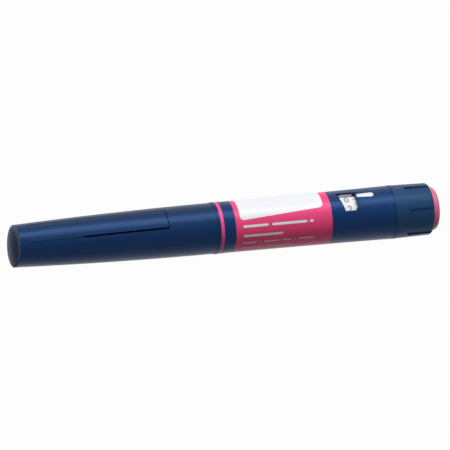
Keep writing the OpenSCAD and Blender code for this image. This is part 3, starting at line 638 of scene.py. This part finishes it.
def drum_number(text, x, turn):
    """Points and faces of a number wrapped on the drum: text right becomes +X, and text up
    becomes an arc towards +Y, so a height h turns into the angle h / radius."""
    curve = bpy.data.curves.new("number", "FONT")
    curve.body = text
    curve.size = NUMBER_SIZE
    curve.align_x = "CENTER"
    curve.align_y = "CENTER"
    curve.resolution_u = 3
    holder = bpy.data.objects.new("number", curve)
    bpy.context.scene.collection.objects.link(holder)
    bpy.context.view_layer.update()
    seen = holder.evaluated_get(bpy.context.evaluated_depsgraph_get())
    mesh = bpy.data.meshes.new_from_object(seen)
    bpy.data.objects.remove(holder)
    bpy.data.curves.remove(curve)
    flat = bmesh.new()
    flat.from_mesh(mesh)
    bpy.data.meshes.remove(mesh)
    bmesh.ops.remove_doubles(flat, verts=flat.verts, dist=SAME_PLACE)
    bmesh.ops.triangulate(flat, faces=flat.faces)
    for _ in range(SPLIT_ROUNDS):
        long_edges = [e for e in flat.edges if e.calc_length() > LONGEST_NUMBER_EDGE]
        bmesh.ops.subdivide_edges(flat, edges=long_edges, cuts=1)
        bmesh.ops.triangulate(flat, faces=flat.faces)
    corners = np.array([v.co[:2] for v in flat.verts])
    faces = [[v.index for v in f.verts] for f in flat.faces]
    flat.free()
    radius = drum_r + PRINT_HEIGHT
    return on_pen(x + corners[:, 0], radius, turn + corners[:, 1] / radius), faces


def drum_numbers():
    """Even doses from 0 to the last, each centred on its place on the drum."""
    all_points, all_faces, count = [], [], 0
    for dose in range(0, LAST_DOSE + 1, 2):
        x, turn = dose_place(dose)
        points, faces = drum_number(str(dose), x, turn)
        all_points.append(points)
        all_faces += [[i + count for i in f] for f in faces]
        count += len(points)
    mesh = new_mesh("drum_numbers", np.concatenate(all_points), all_faces)
    finish_piece("drum_numbers", mesh, number_grey, "drum", flip=True)


def drum_marks():
    """A short stroke at every dose beside the numbers, longer at the even ones: its points run
    in columns along the pen and rows round the drum from the dose's place."""
    along = np.linspace(0.0, 1.0, MARK_COLUMNS)
    across = np.linspace(-0.5, 0.5, MARK_ROWS)
    dose, s, t = np.meshgrid(np.arange(0, LAST_DOSE + 1), across, along, indexing="ij")
    x, turn = dose_place(dose)
    length = np.where(dose % 2 == 0, EVEN_MARK_LEN, ODD_MARK_LEN)
    points = on_pen(x + MARKS_FROM_NUMBERS + length * t, drum_r + PRINT_HEIGHT,
                    turn + MARK_W / drum_r * s)
    print_patches("drum_marks", points, number_grey, "drum")


drum_numbers()
drum_marks()

# Pale wall of the dose window
WINDOW_HALF = 3.4 * MM
LINER_START_X, LINER_END_X = 38.9 * MM, 43.6 * MM
LINER_TOP = 7.62 * MM
LINER_OVER_DRUM = 0.07 * MM
LINER_GAP, LINER_T, LINER_SOFT = 0.01 * MM, 0.07 * MM, 0.02 * MM
LINER_STEPS = 12


def window_liner():
    """Pale strip on the far wall of the dose window, a softened rectangle carried along the
    pen. Its foot is at the height where a circle just over the drum meets the wall, the root
    of that radius squared less the window's half width squared, and it ends below the
    opening's edge."""
    foot = math.sqrt((drum_r + LINER_OVER_DRUM) ** 2 - WINDOW_HALF ** 2)
    outer = WINDOW_HALF - LINER_GAP
    inner = outer - LINER_T
    section = softened([(inner, foot), (inner, LINER_TOP), (outer, LINER_TOP), (outer, foot)],
                       LINER_SOFT)
    x = np.linspace(LINER_START_X, LINER_END_X, LINER_STEPS)[:, None]
    y, height = section[None, :, 0], section[None, :, 1]
    points = np.stack(np.broadcast_arrays(x, y, axis_z + height), axis=-1)
    surface("window_liner", points, drum_white, "housing",
            around=True, ends=True, flip=True)


window_liner()

# Print on the label
PANEL_START_X, PANEL_END_X = 3.2 * MM, 32.3 * MM
PANEL_TOP = math.radians(100)
PANEL_LOW, PANEL_CLIMB = math.radians(-24), math.radians(15)
PANEL_CORNER = 1.4 * MM
PANEL_STEPS, PANEL_ROWS = 121, 61
BAR_STEPS, BAR_ROWS = 41, 5

# Rows of bars: the turn in degrees, the bars' width, and where each bar starts and ends along
# the pen, both in millimetres
PRINT_ROWS = {
    "label_line_first": (-38.0, 0.85, [(3.9, 12.8), (13.9, 26.2), (27.0, 28.3)]),
    "label_line_second": (-60.0, 0.85, [(3.9, 17.8)]),
    "label_line_third": (-78.0, 0.45, [(3.9, 8.6), (9.6, 10.3), (11.3, 16.6), (17.6, 20.6),
                                       (21.6, 22.3), (23.3, 28.8)]),
    "label_line_fourth": (-95.0, 0.28, [(3.9, 11.4), (12.2, 21.8)]),
}

# A bar's end stops at this share of its half width, so that it keeps a short straight edge.
ROUNDED_SHARE = 0.98


def label_panel():
    """White panel over the label's upper part. Its lower edge climbs towards the window, and
    its corners are quarter circles: near an end the edge is lifted by the corner radius less
    the height of the circle there."""
    u = np.linspace(0.0, 1.0, PANEL_STEPS)[:, None]
    v = np.linspace(0.0, 1.0, PANEL_ROWS)[None, :]
    x = PANEL_START_X + (PANEL_END_X - PANEL_START_X) * u
    radius = housing_outer_r(x) + PRINT_HEIGHT
    from_end = np.minimum(x - PANEL_START_X, PANEL_END_X - x)
    inside = np.clip(1 - from_end / PANEL_CORNER, 0.0, 1.0)
    lift = PANEL_CORNER * (1 - np.sqrt(1 - inside ** 2)) / radius
    low_edge = PANEL_LOW + PANEL_CLIMB * u + lift
    high_edge = PANEL_TOP - lift
    points = on_pen(x, radius, low_edge + (high_edge - low_edge) * v)
    surface("label_panel", points, label_white, "housing", flip=True)


def label_line(name, turn, width, spans):
    """Row of plain printed bars along the pen, one for each span of x. Each end of a bar is
    near to a half circle: the width there is the bar's, times the root of 1 less the squared
    share of the half width that is still missing from the end."""
    ends = np.array(spans)[:, :, None, None]
    x0, x1 = ends[:, 0], ends[:, 1]
    u = np.linspace(0.0, 1.0, BAR_STEPS)[None, :, None]
    v = np.linspace(-0.5, 0.5, BAR_ROWS)[None, None, :]
    x = x0 + (x1 - x0) * u
    missing = np.clip(1 - np.minimum(x - x0, x1 - x) / (width / 2), 0.0, ROUNDED_SHARE)
    radius = housing_outer_r(x) + PRINT_HEIGHT
    points = on_pen(x, radius, turn + width * np.sqrt(1 - missing ** 2) * v / radius)
    print_patches(name, points, label_white, "housing")


label_panel()
for row_name, (row_turn, bar_width, bar_spans) in PRINT_ROWS.items():
    label_line(row_name, math.radians(row_turn), bar_width * MM, np.array(bar_spans) * MM)

# Floor and light
FLOOR_HALF = 6.0
FLOOR_FLAT_SHARE = 0.7
FLOOR_CURL = 0.4
FLOOR_STEPS = 25
FLOOR_GREYS = (0.16, 0.16, 0.16), (0.17, 0.17, 0.17)
SHADOW_KEPT = 0.02
WORLD_STRENGTH = 0.10
WHITE = (1.0, 1.0, 1.0, 1.0)


def white_where_seen(tree, shader, white_kind, kept=0.0):
    """White to the camera and in reflections and clear parts; the shader itself for all other
    rays. kept is the share of the shader that the camera still sees, which holds the shadow."""
    rays = tree.nodes.new("ShaderNodeLightPath")
    seen = rays.outputs["Is Camera Ray"]
    for ray in ("Is Glossy Ray", "Is Transmission Ray"):
        either = tree.nodes.new("ShaderNodeMath")
        either.operation = "MAXIMUM"
        tree.links.new(seen, either.inputs[0])
        tree.links.new(rays.outputs[ray], either.inputs[1])
        seen = either.outputs[0]
    share = tree.nodes.new("ShaderNodeMath")
    share.operation = "MULTIPLY"
    share.inputs[1].default_value = 1.0 - kept
    tree.links.new(seen, share.inputs[0])
    white = tree.nodes.new(white_kind)
    white.inputs["Color"].default_value = WHITE
    white.inputs["Strength"].default_value = 1.0
    mix = tree.nodes.new("ShaderNodeMixShader")
    tree.links.new(share.outputs[0], mix.inputs[0])
    tree.links.new(shader.outputs[0], mix.inputs[1])
    tree.links.new(white.outputs[0], mix.inputs[2])
    return mix.outputs[0]


def studio_floor():
    """Wide pale sheet under the pen: flat, with its edges curling up by the square of the
    share that lies past the flat part."""
    u = np.linspace(-1.0, 1.0, FLOOR_STEPS)[None, :]
    v = np.linspace(-1.0, 1.0, FLOOR_STEPS)[:, None]
    past_u = np.clip(np.abs(u) - FLOOR_FLAT_SHARE, 0, 1)
    past_v = np.clip(np.abs(v) - FLOOR_FLAT_SHARE, 0, 1)
    lift = FLOOR_CURL * (past_u ** 2 + past_v ** 2)
    points = np.stack(np.broadcast_arrays(FLOOR_HALF * u, FLOOR_HALF * v, lift), axis=-1)
    material = bpy.data.materials.new("studio floor")
    tree, out = cleared_tree(material, "ShaderNodeOutputMaterial")
    paper = tree.nodes.new("ShaderNodeBsdfDiffuse")
    tone = spread(tree, object_noise(tree, PAPER_TONES), 0.0, 1.0)
    tree.links.new(two_tones(tree, tone, *FLOOR_GREYS), paper.inputs["Color"])
    shown = white_where_seen(tree, paper, "ShaderNodeEmission", SHADOW_KEPT)
    tree.links.new(shown, out.inputs["Surface"])
    index = np.arange(points[..., 0].size).reshape(points.shape[:2])
    mesh = new_mesh("studio_floor", points, grid_faces(index))
    mesh.materials.append(material)
    sheet = bpy.data.objects.new("studio_floor", mesh)
    bpy.context.scene.collection.objects.link(sheet)


def soft_box(name, turn, distance, size, watts):
    """Rectangular lamp at a turn and a distance from the pen's axis, facing its middle. size is
    along the pen and round it."""
    lamp = bpy.data.lights.new(name, "AREA")
    lamp.shape = "RECTANGLE"
    lamp.size, lamp.size_y = size
    lamp.energy = watts
    box = bpy.data.objects.new(name, lamp)
    box.location = (0.0, distance * math.sin(turn), axis_z + distance * math.cos(turn))
    box.rotation_euler = (-turn, 0.0, 0.0)
    bpy.context.scene.collection.objects.link(box)


def studio_light():
    """A long soft box above the pen for its highlight, a broad one on the camera's side of it
    for the body of the light, and an even world."""
    soft_box("key_light", math.radians(23), distance=0.6, size=(0.9, 0.28), watts=4.1)
    soft_box("broad_light", math.radians(-12), distance=0.8, size=(1.0, 0.6), watts=0.8)
    world = bpy.data.worlds.new("studio")
    bpy.context.scene.world = world
    tree, out = cleared_tree(world, "ShaderNodeOutputWorld")
    air = tree.nodes.new("ShaderNodeBackground")
    air.inputs["Color"].default_value = WHITE
    air.inputs["Strength"].default_value = WORLD_STRENGTH
    shown = white_where_seen(tree, air, "ShaderNodeBackground")
    tree.links.new(shown, out.inputs["Surface"])


# Camera
CLIP_ABOVE_VIEW = math.radians(35)
END_TOWARDS_VIEW = math.radians(15.5)
ROLL = math.radians(5.19)
VIEW_WIDTH = 149.9 * MM
VIEW_DISTANCE = 3.0
SENSOR = 36.0
NEAREST, FARTHEST = 0.05, 30.0
PEN_BELOW_MIDDLE = 0.70 * MM


def photo_camera():
    """Long lens at the photograph's angle: it looks at the pen's side with the clip turned up
    from the middle of the view and the cap's end nearer, rolled so that the button end rises."""
    across = Vector((0.0, -math.sin(CLIP_ABOVE_VIEW), math.cos(CLIP_ABOVE_VIEW)))
    upward = Vector((0.0, math.cos(CLIP_ABOVE_VIEW), math.sin(CLIP_ABOVE_VIEW)))
    along = Vector((1.0, 0.0, 0.0))
    towards = math.cos(END_TOWARDS_VIEW) * across - math.sin(END_TOWARDS_VIEW) * along
    level = math.cos(END_TOWARDS_VIEW) * along + math.sin(END_TOWARDS_VIEW) * across
    right = math.cos(ROLL) * level - math.sin(ROLL) * upward
    up = math.sin(ROLL) * level + math.cos(ROLL) * upward
    aim = Vector((0.0, 0.0, axis_z)) + up * PEN_BELOW_MIDDLE
    data = bpy.data.cameras.new("photo_camera")
    data.sensor_width = SENSOR
    data.lens = SENSOR * VIEW_DISTANCE / VIEW_WIDTH
    data.clip_start, data.clip_end = NEAREST, FARTHEST
    camera = bpy.data.objects.new("photo_camera", data)
    place = Matrix((right, up, towards)).transposed().to_4x4()
    place.translation = aim + towards * VIEW_DISTANCE
    camera.matrix_world = place
    bpy.context.scene.collection.objects.link(camera)
    bpy.context.scene.camera = camera


studio_floor()
studio_light()
photo_camera()
bpy.context.scene.view_settings.view_transform = "Standard"
